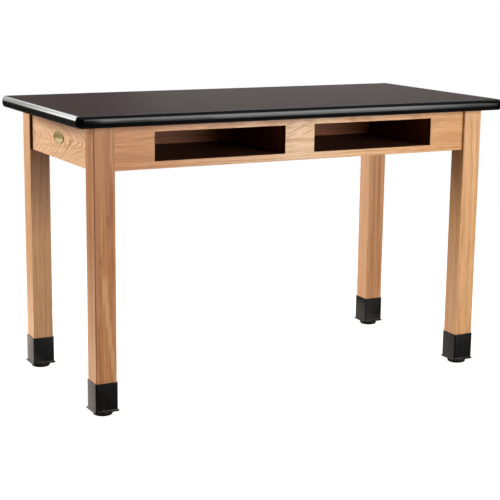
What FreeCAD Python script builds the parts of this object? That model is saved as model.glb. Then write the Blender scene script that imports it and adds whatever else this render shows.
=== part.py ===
import FreeCAD, Part
import math
import os

# Science laboratory table with two open book compartments under its front edge. Lengths are in
# millimetres. X runs along the table, +Y points to the back and +Z up. The origin lies on the
# floor under the middle of the table, with the four leveling glides screwed fully in.

# Overall sizes, and how far the top reaches past the legs at the ends and at front and back
table_length = 1295.0
table_depth = 609.6
table_height = 784.0
end_overhang = 53.0
side_overhang = 32.0

# Worktop: a board with a black sheet on top, a thin sheet below and a moulded band round its edge
core_thickness = 28.6
laminate_thickness = 1.0
backer_thickness = 0.7
corner_radius = 16.0
band_width = 8.0
band_nose = 0.15
band_shoulder_height = 13.0
band_shoulder_bulge = 2.8
band_lower_height = 12.0
band_lower_width = 7.0
band_lower_bulge = 2.5
tongue_thickness = 2.4
tongue_length = 10.0

# Legs, with eased arrises and a small flat at the inner one where the corner bolts enter
leg_size = 57.15
leg_easing = 1.5
bolt_flat_width = 14.0

# Aprons, set back from the outer faces of the legs, and dowelled into them
apron_height = 114.3
apron_thickness = 19.05
apron_reveal = 8.0
apron_easing = 0.8
dowel_diameter = 9.5
dowel_length = 50.0
dowel_height_shares = (0.27, 0.73)

# The two openings cut in the front apron reach from the middle stile towards the corner brackets
bracket_gap = 20.96
opening_height = 76.2
opening_top_strip = 19.05
stile_width = 88.9

# Book compartments: panels behind each opening, a ledger under their floors, and cleats
compartment_depth = 300.0
panel_thickness = 12.7
floor_thickness = 6.35
ledger_thickness = 12.7
cleat_width = 19.05
cleat_height = 19.05

# Corner brackets of bent steel, each drawn to its leg by two hanger bolts
bracket_thickness = 2.5
bracket_height = 76.0
bracket_drop = 22.0
bracket_leg_gap = 10.0
bracket_flange_length = 34.0
bolt_diameter = 8.0
bolt_in_leg = 50.0
bolt_end = 6.0
bolt_pitch = 44.0
bolt_hole_clearance = 0.5
washer_diameter = 19.0
washer_thickness = 1.6
nut_across_flats = 12.7
nut_thickness = 6.5

# Wood screws: pan heads in the brackets, sunk heads elsewhere
screw_diameter = 4.2
screw_head_diameter = 8.4
screw_head_height = 2.6
screw_bite = 12.0
top_screw_bite = 18.0
screw_edge_distance = 40.0
screw_stagger = 16.0
wood_clearance = 0.05

# Boots: moulded sleeves over the leg ends, with a flared lip
boot_height = 77.5
boot_wall = 2.5
boot_floor = 3.0
boot_recess = 6.0
lip_thickness = 1.5
lip_reach = 4.4
lip_fillet = 3.8

# Leveling glides: a round pad that stays still on the floor, and a threaded stud that turns in it
leveler_travel = 19.05
pad_diameter = 52.5
pad_height = 12.0
pad_gap = 1.0
pad_floor = 4.0
pad_bottom_round = 4.0
pad_top_round = 1.5
stud_diameter = 9.525
stud_margin = 2.0
stud_point_chamfer = 1.2
stud_hole_clearance = 1.5
collar_diameter = 20.0
collar_thickness = 3.0
hex_across_flats = 14.3
hex_height = 5.0
hex_gap = 0.4
running_clearance = 0.08
insert_length = 25.0
insert_diameter = 13.5
insert_flange_diameter = 19.0
insert_flange_thickness = 1.5
blind_hole_margin = 5.0

# Oval plate on the left apron
badge_width = 77.0
badge_height = 32.5
badge_thickness = 1.2
badge_rim_width = 2.6
badge_rim_height = 0.8

# How far a cutting shape runs past the faces that it opens, and how near two places count as one
overrun = 5.0
coincidence = 0.01

# Levels and half sizes that the pieces share
top_thickness = core_thickness + laminate_thickness + backer_thickness
top_underside = table_height - top_thickness
core_bottom = top_underside + backer_thickness
core_top = core_bottom + core_thickness
half_length = table_length / 2
half_depth = table_depth / 2
frame_half_length = half_length - end_overhang
frame_half_depth = half_depth - side_overhang
boot_bottom = pad_height + pad_gap
boot_plate_bottom = boot_bottom + boot_recess
leg_bottom = boot_plate_bottom + boot_floor
boot_top = boot_bottom + boot_height
apron_bottom = top_underside - apron_height
apron_inner = apron_reveal + apron_thickness
apron_middle = apron_reveal + apron_thickness / 2
opening_top = top_underside - opening_top_strip
opening_bottom = opening_top - opening_height
floor_bottom = opening_bottom - floor_thickness
cleat_bottom = top_underside - cleat_height
bracket_top = top_underside - bracket_drop
bracket_bottom = bracket_top - bracket_height
front_inner = apron_inner - frame_half_depth
chamber_back = front_inner + compartment_depth
panel_back = chamber_back + panel_thickness
leg_gap_x = frame_half_length - leg_size
leg_gap_y = frame_half_depth - leg_size
end_inner = frame_half_length - apron_inner
back_inner = frame_half_depth - apron_inner

# Corner bracket in plan, as distances from the outer arris of its leg along the aprons
flat_step = bolt_flat_width / math.sqrt(2)
leg_flat = 2 * leg_size - flat_step
plate_line = 2 * leg_size + bracket_leg_gap * math.sqrt(2)
plate_back = plate_line + bracket_thickness * math.sqrt(2)
flange_start = plate_line - apron_inner
flange_end = flange_start + bracket_flange_length
flange_back = apron_inner + bracket_thickness

# Half widths of the middle stile, the openings and the compartments round them
opening_inner = stile_width / 2
box_inner = opening_inner - panel_thickness
box_outer = frame_half_length - flange_end - bracket_gap
opening_outer = box_outer - panel_thickness

corners = (("front_left", -1, -1), ("front_right", 1, -1), ("back_left", -1, 1), ("back_right", 1, 1))
up = FreeCAD.Vector(0, 0, 1)
parts = {}


def box(x0, x1, y0, y1, z0, z1):
    """A block between two corners."""
    return Part.makeBox(x1 - x0, y1 - y0, z1 - z0, FreeCAD.Vector(x0, y0, z0))


def rod(radius, start, direction, length):
    """A round bar from a point along a direction."""
    return Part.makeCylinder(radius, length, start, direction)


def hexagon(across_flats, start, direction, height):
    """A hexagonal prism whose axis starts at a point and follows a direction."""
    radius = across_flats / math.sqrt(3)
    angles = [math.radians(60 * i) for i in range(7)]
    points = [FreeCAD.Vector(radius * math.cos(a), radius * math.sin(a), 0) for a in angles]
    prism = Part.Face(Part.makePolygon(points)).extrude(up * height)
    prism.Placement = FreeCAD.Placement(start, FreeCAD.Rotation(up, direction))
    return prism


def at_corner(side_x, side_y, u, v, z):
    """A point given by its distances u and v inwards from the outer arris of a leg."""
    return FreeCAD.Vector(side_x * (frame_half_length - u), side_y * (frame_half_depth - v), z)


def corner_prism(side_x, side_y, outline, z0, z1):
    """An upright prism over an outline of (u, v) points at one leg."""
    points = [at_corner(side_x, side_y, u, v, z0) for u, v in outline]
    return Part.Face(Part.makePolygon(points + points[:1])).extrude(up * (z1 - z0))


def rounded_face(half_x, half_y, radius, z):
    """A flat rectangle with round corners, centred on the origin."""
    edges = []
    for side_x, side_y, turn in ((1, 1, 0), (-1, 1, 90), (-1, -1, 180), (1, -1, 270)):
        centre = FreeCAD.Vector(side_x * (half_x - radius), side_y * (half_y - radius), z)
        edges.append(Part.makeCircle(radius, centre, up, turn, turn + 90))
    loop = []
    for edge, following in zip(edges, edges[1:] + edges[:1]):
        loop.append(edge)
        loop.append(Part.makeLine(edge.lastVertex().Point, following.firstVertex().Point))
    return Part.Face(Part.Wire(loop))


def rounded_slab(half_x, half_y, radius, z0, z1):
    """A slab with round corners between two levels."""
    return rounded_face(half_x, half_y, radius, z0).extrude(up * (z1 - z0))


def upright_edges(shape):
    """The straight vertical edges of a shape."""
    found = []
    for edge in shape.Edges:
        ends = [vertex.Point for vertex in edge.Vertexes]
        if len(ends) == 2 and ends[0].sub(ends[1]).cross(up).Length < coincidence:
            found.append(edge)
    return found


def screw(head, direction, length, sunk, slack=0.0):
    """A wood screw from its head's place along a direction; slack widens it into its hole."""
    shank = rod(screw_diameter / 2 + slack, head, direction, length)
    outer = screw_head_diameter / 2 + slack
    if sunk:
        cap = Part.makeCone(outer, screw_diameter / 2 + slack, screw_head_height, head, direction)
    else:
        cap = rod(outer, head - direction * screw_head_height, direction, screw_head_height)
    return shank.fuse(cap).removeSplitter()


def spread(low, high, count):
    """Evenly spaced places between two ends, both included."""
    return [low + (high - low) * i / (count - 1) for i in range(count)]


# Screws and their holes are listed first, so that each piece can be cut where they pass
screw_groups = {"top_screws": [], "cleat_screws": [], "compartment_screws": [], "bracket_screws": []}
screw_holes = []


def add_screw(group, head, direction, length, sunk=True):
    """Record a screw under its group and the hole that the wood needs for it."""
    screw_groups[group].append(screw(head, direction, length, sunk))
    screw_holes.append(screw(head, direction, length, sunk, wood_clearance))


# Cleats along the aprons at the ends and the back, as (name, x0, x1, y0, y1, towards the apron)
apron_cleats = (
    ("cleat_left", -end_inner, cleat_width - end_inner, -leg_gap_y, leg_gap_y, (-1, 0)),
    ("cleat_right", end_inner - cleat_width, end_inner, -leg_gap_y, leg_gap_y, (1, 0)),
    ("cleat_back", -leg_gap_x, leg_gap_x, back_inner - cleat_width, back_inner, (0, 1)),
)

# Cleats beside and between the compartments, as (name, x0, x1)
compartment_cleats = (
    ("compartment_cleat_left", -box_outer - cleat_width, -box_outer),
    ("compartment_cleat_middle", -box_inner, box_inner),
    ("compartment_cleat_right", box_outer, box_outer + cleat_width),
)

cleat_middle = (top_underside + cleat_bottom) / 2
top_screw_length = cleat_height + top_screw_bite
cleat_screw_length = cleat_width + screw_bite
for name, x0, x1, y0, y1, side in apron_cleats:
    inwards = FreeCAD.Vector(side[0], side[1], 0)
    if side[0]:
        head_x = x1 if side[0] < 0 else x0
        for y in spread(y0 + screw_edge_distance, y1 - screw_edge_distance, 3):
            add_screw("top_screws", FreeCAD.Vector((x0 + x1) / 2, y, cleat_bottom), up, top_screw_length)
            head = FreeCAD.Vector(head_x, y + screw_stagger, cleat_middle)
            add_screw("cleat_screws", head, inwards, cleat_screw_length)
    else:
        for x in spread(x0 + screw_edge_distance, x1 - screw_edge_distance, 5):
            add_screw("top_screws", FreeCAD.Vector(x, (y0 + y1) / 2, cleat_bottom), up, top_screw_length)
            head = FreeCAD.Vector(x + screw_stagger, y0, cleat_middle)
            add_screw("cleat_screws", head, inwards, cleat_screw_length)

side_screw_length = cleat_width + panel_thickness / 2
for name, x0, x1 in compartment_cleats:
    for y in spread(front_inner + screw_edge_distance, chamber_back - screw_edge_distance, 2):
        add_screw("top_screws", FreeCAD.Vector((x0 + x1) / 2, y, cleat_bottom), up, top_screw_length)
        if name != "compartment_cleat_middle":
            outwards = -1 if x0 < 0 else 1
            head = FreeCAD.Vector(x0 if x0 < 0 else x1, y + screw_stagger, cleat_middle)
            add_screw("cleat_screws", head, FreeCAD.Vector(-outwards, 0, 0), side_screw_length)

# Screws up through the compartment floors into the sides, and forwards through their backs
floor_screw_length = floor_thickness + screw_bite
back_screw_length = panel_thickness + screw_bite
panel_middle = panel_thickness / 2
for side in (-1, 1):
    for x in (side * (opening_inner - panel_middle), side * (opening_outer + panel_middle)):
        for y in spread(front_inner + screw_edge_distance, chamber_back - screw_edge_distance, 3):
            add_screw("compartment_screws", FreeCAD.Vector(x, y, floor_bottom), up, floor_screw_length)
        for z in spread(opening_bottom + screw_stagger, cleat_bottom - screw_stagger, 2):
            head = FreeCAD.Vector(x, panel_back, z)
            add_screw("compartment_screws", head, FreeCAD.Vector(0, -1, 0), back_screw_length)

# Screws that hold the ledger to the front apron
ledger_bottom = floor_bottom - ledger_thickness
ledger_screw_length = ledger_thickness + screw_bite
for x in spread(screw_edge_distance - box_outer, box_outer - screw_edge_distance, 5):
    head = FreeCAD.Vector(x, front_inner + ledger_thickness, (floor_bottom + ledger_bottom) / 2)
    add_screw("compartment_screws", head, FreeCAD.Vector(0, -1, 0), ledger_screw_length)

# Plan of a corner bracket in (u, v): a plate across the corner and a flange on each apron
bracket_outline = (
    (flange_end, apron_inner), (flange_start, apron_inner),
    (apron_inner, flange_start), (apron_inner, flange_end),
    (flange_back, flange_end), (flange_back, plate_back - flange_back),
    (plate_back - flange_back, flange_back), (flange_end, flange_back),
)
bracket_middle = (bracket_top + bracket_bottom) / 2
bolt_levels = (bracket_middle - bolt_pitch / 2, bracket_middle + bolt_pitch / 2)
flange_screw_u = flange_end - bracket_flange_length / 3
flange_screw_levels = bolt_levels
pan_screw_length = bracket_thickness + screw_bite
for name, side_x, side_y in corners:
    for z in flange_screw_levels:
        head = at_corner(side_x, side_y, flange_screw_u, flange_back, z)
        add_screw("bracket_screws", head, FreeCAD.Vector(0, side_y, 0), pan_screw_length, False)
        head = at_corner(side_x, side_y, flange_back, flange_screw_u, z)
        add_screw("bracket_screws", head, FreeCAD.Vector(side_x, 0, 0), pan_screw_length, False)

all_screw_holes = Part.makeCompound(screw_holes)

# Hanger bolts run along the diagonal of each leg, through the bracket, a washer and a nut
hanger_bolts, bolt_holes, washers, nuts = [], [], [], []
flat_distance = leg_flat / math.sqrt(2)
plate_distance = plate_back / math.sqrt(2)
bolt_start = flat_distance - bolt_in_leg
bolt_length = plate_distance + washer_thickness + nut_thickness + bolt_end - bolt_start
for name, side_x, side_y in corners:
    inwards = FreeCAD.Vector(-side_x, -side_y, 0).normalize()
    for z in bolt_levels:
        outer = at_corner(side_x, side_y, 0, 0, z)
        start = outer + inwards * bolt_start
        seat = outer + inwards * plate_distance
        nut_seat = seat + inwards * washer_thickness
        bore = rod(bolt_diameter / 2 + wood_clearance, seat, inwards, washer_thickness + nut_thickness)
        hanger_bolts.append(rod(bolt_diameter / 2, start, inwards, bolt_length))
        bolt_holes.append(rod(bolt_diameter / 2 + wood_clearance, start, inwards, bolt_length))
        washers.append(rod(washer_diameter / 2, seat, inwards, washer_thickness).cut(bore))
        nuts.append(hexagon(nut_across_flats, nut_seat, inwards, nut_thickness).cut(bore))

# Dowels between the aprons and the legs
dowels, dowel_holes = [], []
dowel_levels = [apron_bottom + apron_height * share for share in dowel_height_shares]
for name, side_x, side_y in corners:
    for z in dowel_levels:
        along_x = at_corner(side_x, side_y, leg_size - dowel_length / 2, apron_middle, z)
        along_y = at_corner(side_x, side_y, apron_middle, leg_size - dowel_length / 2, z)
        for start, direction in ((along_x, (-side_x, 0, 0)), (along_y, (0, -side_y, 0))):
            direction = FreeCAD.Vector(*direction)
            dowels.append(rod(dowel_diameter / 2, start, direction, dowel_length))
            dowel_holes.append(rod(dowel_diameter / 2 + wood_clearance, start, direction, dowel_length))
frame_holes = Part.makeCompound(dowel_holes + bolt_holes + screw_holes)

# Worktop: board, facing sheet and backing sheet inside the band
inner_x = half_length - band_width
inner_y = half_depth - band_width
inner_radius = corner_radius - band_width
tongue_bottom = core_bottom + (core_thickness - tongue_thickness) / 2
tongue_top = tongue_bottom + tongue_thickness
tongue_outer = rounded_slab(inner_x, inner_y, inner_radius, tongue_bottom, tongue_top)
tongue_hole = box(tongue_length - inner_x, inner_x - tongue_length, tongue_length - inner_y,
                  inner_y - tongue_length, tongue_bottom, tongue_top)
tongue = tongue_outer.cut(tongue_hole)
core = rounded_slab(inner_x, inner_y, inner_radius, core_bottom, core_top)
backer = rounded_slab(inner_x, inner_y, inner_radius, top_underside, core_bottom)
parts["top_core"] = core.cut(tongue).cut(all_screw_holes)
parts["top_laminate"] = rounded_slab(inner_x, inner_y, inner_radius, core_top, table_height)
parts["top_backer"] = backer.cut(all_screw_holes)


def bulged_arc(start, end, bulge):
    """An arc between two points of the band's section whose middle stands out by a bulge."""
    chord = end - start
    outwards = chord.cross(FreeCAD.Vector(1, 0, 0)).normalize()
    return Part.Arc(start, (start + end) / 2 + outwards * bulge, end).toShape()


def band_point(outwards, height):
    """A point of the band's section, outwards from the board's edge and up from its underside."""
    return FreeCAD.Vector(0, -inner_y - outwards, top_underside + height)


# Band section at the middle of the front edge: a round shoulder, a short nose and a round lower half
nose_out = band_width - band_nose
section_points = (
    band_point(0, top_thickness),
    band_point(nose_out, top_thickness - band_shoulder_height),
    band_point(nose_out, band_lower_height),
    band_point(nose_out - band_lower_width, 0),
    band_point(0, 0),
)
section = Part.Wire([
    bulged_arc(section_points[0], section_points[1], band_shoulder_bulge),
    bulged_arc(section_points[1], section_points[2], band_nose),
    bulged_arc(section_points[2], section_points[3], band_lower_bulge),
    Part.makeLine(section_points[3], section_points[4]),
    Part.makeLine(section_points[4], section_points[0]),
])
straight_x = inner_x - inner_radius
straight_y = inner_y - inner_radius


def band_run(side_x, side_y, length):
    """A straight stretch of the band, centred on one side of the worktop."""
    run = Part.Face(section).extrude(FreeCAD.Vector(length, 0, 0))
    run.translate(FreeCAD.Vector(-length / 2, 0, 0))
    if side_x:
        run.translate(FreeCAD.Vector(0, inner_y - inner_x, 0))
        run.rotate(FreeCAD.Vector(0, 0, 0), up, 90 * side_x)
    elif side_y > 0:
        run.rotate(FreeCAD.Vector(0, 0, 0), up, 180)
    return run


def band_corner(side_x, side_y):
    """A quarter turn of the band round one corner of the board."""
    centre = FreeCAD.Vector(side_x * straight_x, side_y * straight_y, 0)
    start = Part.Face(section)
    start.translate(FreeCAD.Vector(centre.x, centre.y + straight_y, 0))
    turns = {(1, -1): 0, (1, 1): 90, (-1, 1): 180, (-1, -1): 270}
    start.rotate(centre, up, turns[side_x, side_y])
    return start.revolve(centre, up, 90)


band_pieces = [band_run(0, -1, 2 * straight_x), band_run(0, 1, 2 * straight_x)]
band_pieces += [band_run(-1, 0, 2 * straight_y), band_run(1, 0, 2 * straight_y)]
band_pieces += [band_corner(side_x, side_y) for name, side_x, side_y in corners]
parts["top_edge_band"] = band_pieces[0].multiFuse(band_pieces[1:] + [tongue]).removeSplitter()

# Legs: square, eased, flat at the inner arris over the aprons' height, bored for bolts and glide
leg_hole_top = leg_bottom + insert_length + leveler_travel + stud_margin + blind_hole_margin
glide_u = leg_size / 2


def leg_blank(side_x, side_y, z0, z1, grow=0.0):
    """A square length of leg with round arrises, grown on every side when it is a boot."""
    low, high = -grow, leg_size + grow
    outline = ((low, low), (high, low), (high, high), (low, high))
    blank = corner_prism(side_x, side_y, outline, z0, z1)
    return blank.makeFillet(leg_easing + grow, upright_edges(blank))


def insert_blank(side_x, side_y):
    """The outside of a flanged threaded insert in the end of a leg."""
    base = at_corner(side_x, side_y, glide_u, glide_u, leg_bottom)
    flange = rod(insert_flange_diameter / 2, base, up, insert_flange_thickness)
    return rod(insert_diameter / 2, base, up, insert_length).fuse(flange).removeSplitter()


inserts = []
for name, side_x, side_y in corners:
    far = leg_size + overrun
    near = far - flat_step - 2 * overrun
    flat = corner_prism(side_x, side_y, ((far, far), (near, far), (far, near)), apron_bottom, top_underside)
    base = at_corner(side_x, side_y, glide_u, glide_u, leg_bottom)
    stud_hole = rod(stud_diameter / 2 + stud_hole_clearance, base, up, leg_hole_top - leg_bottom)
    stud_bore = rod(stud_diameter / 2 + running_clearance, base, up, insert_length)
    leg = leg_blank(side_x, side_y, leg_bottom, top_underside)
    leg = leg.cut(flat).cut(stud_hole).cut(insert_blank(side_x, side_y)).cut(frame_holes)
    parts["leg_" + name] = leg
    inserts.append(insert_blank(side_x, side_y).cut(stud_bore))
parts["leveler_inserts"] = Part.makeCompound(inserts)


def apron_board(x0, x1, y0, y1):
    """An apron over its full height, with its long lower edges eased."""
    board = box(x0, x1, y0, y1, apron_bottom, top_underside)
    longest = max(x1 - x0, y1 - y0)
    lower = [edge for edge in board.Edges
             if edge.BoundBox.ZMax < apron_bottom + coincidence and edge.Length > longest - coincidence]
    return board.makeFillet(apron_easing, lower)


# Aprons, with the two openings in the front one
front_apron = apron_board(-leg_gap_x, leg_gap_x, apron_reveal - frame_half_depth, front_inner)
for side in (-1, 1):
    x0, x1 = sorted((side * opening_inner, side * opening_outer))
    opening = box(x0, x1, -half_depth, front_inner + overrun, opening_bottom, opening_top)
    front_apron = front_apron.cut(opening)
parts["apron_front"] = front_apron.cut(frame_holes)
back_apron = apron_board(-leg_gap_x, leg_gap_x, back_inner, frame_half_depth - apron_reveal)
parts["apron_back"] = back_apron.cut(frame_holes)
end_outer = frame_half_length - apron_reveal
for name, side in (("apron_left", -1), ("apron_right", 1)):
    x0, x1 = sorted((side * end_inner, side * end_outer))
    parts[name] = apron_board(x0, x1, -leg_gap_y, leg_gap_y).cut(frame_holes)
parts["apron_dowels"] = Part.makeCompound(dowels)

# Cleats that carry the worktop
for name, x0, x1, y0, y1, side in apron_cleats:
    parts[name] = box(x0, x1, y0, y1, cleat_bottom, top_underside).cut(all_screw_holes)
for name, x0, x1 in compartment_cleats:
    cleat = box(x0, x1, front_inner, chamber_back, cleat_bottom, top_underside)
    parts[name] = cleat.cut(all_screw_holes)

# Compartments: a floor that carries two sides and a back, and a ledger along the apron
for label, side in (("left", -1), ("right", 1)):
    walls = (
        ("floor", box_inner, box_outer, front_inner, panel_back, floor_bottom, opening_bottom),
        ("inner_side", box_inner, opening_inner, front_inner, chamber_back, opening_bottom, top_underside),
        ("outer_side", opening_outer, box_outer, front_inner, chamber_back, opening_bottom, top_underside),
        ("back", box_inner, box_outer, chamber_back, panel_back, opening_bottom, top_underside),
    )
    for wall, x0, x1, y0, y1, z0, z1 in walls:
        x0, x1 = sorted((side * x0, side * x1))
        parts[label + "_compartment_" + wall] = box(x0, x1, y0, y1, z0, z1).cut(all_screw_holes)
ledger = box(-box_outer, box_outer, front_inner, front_inner + ledger_thickness, ledger_bottom, floor_bottom)
parts["compartment_ledger"] = ledger.cut(all_screw_holes)

# Corner brackets and their fasteners
bracket_bores = []
for name, side_x, side_y in corners:
    inwards = FreeCAD.Vector(-side_x, -side_y, 0).normalize()
    for z in bolt_levels:
        start = at_corner(side_x, side_y, leg_size, leg_size, z)
        bracket_bores.append(rod(bolt_diameter / 2 + bolt_hole_clearance, start, inwards, 2 * flange_start))
bracket_cutters = Part.makeCompound(bracket_bores + screw_holes)
for name, side_x, side_y in corners:
    plate = corner_prism(side_x, side_y, bracket_outline, bracket_bottom, bracket_top)
    parts["corner_bracket_" + name] = plate.cut(bracket_cutters)
parts["hanger_bolts"] = Part.makeCompound(hanger_bolts)
parts["bolt_washers"] = Part.makeCompound(washers)
parts["bolt_nuts"] = Part.makeCompound(nuts)
for group, solids in screw_groups.items():
    parts[group] = Part.makeCompound(solids)

# Boots: a sleeve with a floor under the leg, open below, and a flared lip
for name, side_x, side_y in corners:
    sleeve = leg_blank(side_x, side_y, boot_bottom, boot_top, boot_wall)
    lip = leg_blank(side_x, side_y, boot_bottom, boot_bottom + lip_thickness, boot_wall + lip_reach)
    outside = sleeve.fuse(lip).removeSplitter()
    lip_top = boot_bottom + lip_thickness
    limit = leg_size / 2 + boot_wall + coincidence
    middle = at_corner(side_x, side_y, glide_u, glide_u, lip_top)
    root = []
    for edge in outside.Edges:
        spans = [vertex.Point - middle for vertex in edge.Vertexes]
        if all(abs(p.z) < coincidence and max(abs(p.x), abs(p.y)) < limit for p in spans):
            root.append(edge)
    outside = outside.makeFillet(lip_fillet, root)
    pocket = leg_blank(side_x, side_y, leg_bottom, boot_top + overrun)
    recess = leg_blank(side_x, side_y, boot_bottom - overrun, boot_plate_bottom)
    base = at_corner(side_x, side_y, glide_u, glide_u, boot_bottom)
    stud_hole = rod(stud_diameter / 2 + stud_hole_clearance, base, up, boot_height)
    parts["boot_" + name] = outside.cut(pocket).cut(recess).cut(stud_hole)

# Leveling glides: pad with a socket round the stud's collar, and the stud with its wrench hexagon
stud_top = leg_bottom + insert_length + leveler_travel + stud_margin
for name, side_x, side_y in corners:
    base = at_corner(side_x, side_y, glide_u, glide_u, 0)
    disc = rod(pad_diameter / 2, base, up, pad_height)
    low = [edge for edge in disc.Edges if edge.BoundBox.ZMax < coincidence]
    disc = disc.makeFillet(pad_bottom_round, low)
    high = [edge for edge in disc.Edges if edge.BoundBox.ZMin > pad_height - coincidence]
    disc = disc.makeFillet(pad_top_round, high)
    socket_base = base + up * pad_floor
    socket_height = collar_thickness + 2 * running_clearance
    socket = rod(collar_diameter / 2 + running_clearance, socket_base, up, socket_height)
    throat = rod(stud_diameter / 2 + running_clearance, socket_base, up, pad_height)
    parts["glide_pad_" + name] = disc.cut(socket).cut(throat)

    collar_base = socket_base + up * running_clearance
    hex_base = base + up * (pad_height + hex_gap)
    shank_length = stud_top - collar_base.z
    shank = rod(stud_diameter / 2, collar_base, up, shank_length)
    tip = [edge for edge in shank.Edges if edge.BoundBox.ZMin > stud_top - coincidence]
    shank = shank.makeChamfer(stud_point_chamfer, tip)
    collar = rod(collar_diameter / 2, collar_base, up, collar_thickness)
    wrench_hex = hexagon(hex_across_flats, hex_base, up, hex_height)
    parts["leveler_stud_" + name] = shank.multiFuse([collar, wrench_hex]).removeSplitter()


def oval(width, height, x0, x1):
    """An upright oval plate across X, centred on the left apron."""
    ellipse = Part.Ellipse(FreeCAD.Vector(0, 0, 0), width / 2, height / 2).toShape()
    plate = Part.Face(Part.Wire([ellipse])).extrude(up * (x1 - x0))
    turn = FreeCAD.Rotation(FreeCAD.Vector(1, 1, 1), 120)
    plate.Placement = FreeCAD.Placement(FreeCAD.Vector(x0, 0, (apron_bottom + top_underside) / 2), turn)
    return plate


# Oval plate on the left apron, with a raised rim round a plain field
badge_back = -end_outer
badge_face = badge_back - badge_thickness
badge_front = badge_face - badge_rim_height
field_width = badge_width - 2 * badge_rim_width
field_height = badge_height - 2 * badge_rim_width
field = oval(field_width, field_height, badge_front - overrun, badge_face)
parts["badge_plate"] = oval(badge_width, badge_height, badge_front, badge_back).cut(field)

os.makedirs("parts", exist_ok=True)
for name, shape in parts.items():
    shape.exportStep("parts/" + name + ".step")
    bounds = shape.BoundBox
    print("%-30s solids %2d  valid %s  volume %10.1f  x %.1f..%.1f  y %.1f..%.1f  z %.1f..%.1f" % (
        name, len(shape.Solids), shape.isValid(), shape.Volume, bounds.XMin, bounds.XMax,
        bounds.YMin, bounds.YMax, bounds.ZMin, bounds.ZMax))
print(len(parts), "nodes")
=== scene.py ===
import math
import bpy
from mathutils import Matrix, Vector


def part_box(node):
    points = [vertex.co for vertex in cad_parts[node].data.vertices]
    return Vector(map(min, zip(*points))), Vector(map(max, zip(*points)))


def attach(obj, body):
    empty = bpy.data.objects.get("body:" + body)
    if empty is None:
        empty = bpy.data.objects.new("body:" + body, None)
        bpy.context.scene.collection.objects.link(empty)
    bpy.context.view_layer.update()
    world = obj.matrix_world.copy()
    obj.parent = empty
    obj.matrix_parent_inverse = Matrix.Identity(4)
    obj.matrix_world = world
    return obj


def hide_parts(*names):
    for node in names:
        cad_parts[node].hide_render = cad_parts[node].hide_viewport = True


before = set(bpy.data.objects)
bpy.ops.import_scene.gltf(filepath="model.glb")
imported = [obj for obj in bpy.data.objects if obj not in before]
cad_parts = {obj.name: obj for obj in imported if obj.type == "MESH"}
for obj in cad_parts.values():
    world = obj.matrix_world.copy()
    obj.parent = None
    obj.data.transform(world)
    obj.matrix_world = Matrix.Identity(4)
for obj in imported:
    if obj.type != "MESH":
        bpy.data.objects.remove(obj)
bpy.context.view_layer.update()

from fnmatch import fnmatch

import bpy
import numpy as np
from mathutils import Euler, Matrix, Vector

MM = 0.001


def linear(hex_colour):
    """An sRGB colour written as six hex digits, turned into linear light."""
    values = [int(hex_colour[i:i + 2], 16) / 255 for i in (0, 2, 4)]
    return [v / 12.92 if v <= 0.04045 else ((v + 0.055) / 1.055) ** 2.4 for v in values] + [1.0]


def add_node(tree, kind, inputs=(), stops=(), output=0, **settings):
    """Adds one node with its settings, colour stops and inputs, each a value or a link; returns one output."""
    made = tree.nodes.new("ShaderNode" + kind)
    for name, value in settings.items():
        setattr(made, name, value)
    for place, colour in stops[2:]:
        made.color_ramp.elements.new(place)
    for element, (place, colour) in zip(made.color_ramp.elements if stops else (), stops):
        element.position = place
        element.color = linear(colour)
    for key, value in dict(inputs).items():
        shown = [socket for socket in made.inputs if socket.enabled]
        socket = shown[key] if isinstance(key, int) else next(s for s in shown if s.name == key)
        if isinstance(value, bpy.types.NodeSocket):
            tree.links.new(value, socket)
        else:
            socket.default_value = value
    if isinstance(output, str):
        return made.outputs[output]
    results = [socket for socket in made.outputs if socket.enabled]
    return results[output] if results else made


def new_tree(name):
    """An empty material and its node tree."""
    material = bpy.data.materials.new(name)
    material.use_nodes = True
    material.node_tree.nodes.clear()
    return material, material.node_tree


def finish_material(tree, inputs):
    """Closes a material with its glossy shader."""
    add_node(tree, "OutputMaterial", {"Surface": add_node(tree, "BsdfPrincipled", inputs)})


# Turns that lay a board's length along the third axis of its pattern, by the axis it runs along
GRAIN_TURNS = {"X": (0, -math.pi / 2, 0), "Y": (math.pi / 2, 0, 0), "Z": (0, 0, 0)}


def board_space(tree, grain, centre=(0, 0, 0), lean=(0, 0, 0)):
    """Millimetres from a centre in a board's own space: the third axis runs along the grain, leant a little."""
    turn = Euler([angle + part for angle, part in zip(GRAIN_TURNS[grain], lean)])
    return add_node(tree, "Mapping", {
        "Vector": add_node(tree, "TexCoord", output="Object"),
        "Location": -(turn.to_matrix() @ Vector(centre)), "Rotation": turn, "Scale": (1 / MM,) * 3})


def stretched_noise(tree, place, across, along, detail=2.0, output="Fac"):
    """Noise whose grains are so many millimetres across and along the third axis."""
    rates = (1 / across, 1 / across, 1 / along)
    scaled = add_node(tree, "VectorMath", {0: place, 1: rates}, operation="MULTIPLY")
    return add_node(tree, "TexNoise", {"Vector": scaled, "Scale": 1.0, "Detail": detail}, output=output)


# What all the ash shares. Grains are in millimetres, across and along the board
RIPPLE, RIPPLE_SHARE = (11, 60), 0.6
UNEVEN_RATE, UNEVEN_YEARS = 0.45, 2.2
SEASON_TONES = ((0.0, "ffffff"), (0.1, "e0e0e0"), (0.3, "303030"), (0.78, "000000"), (1.0, "ffffff"))
PATCHES, PATCH_RANGE, PATCH_SHARES = (30, 200), (0.35, 0.65), (0.35, 1.3)
STREAKS, STREAK_DETAIL, STREAK_RANGE = (12, 900), 3.0, (0.46, 0.68)
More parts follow.
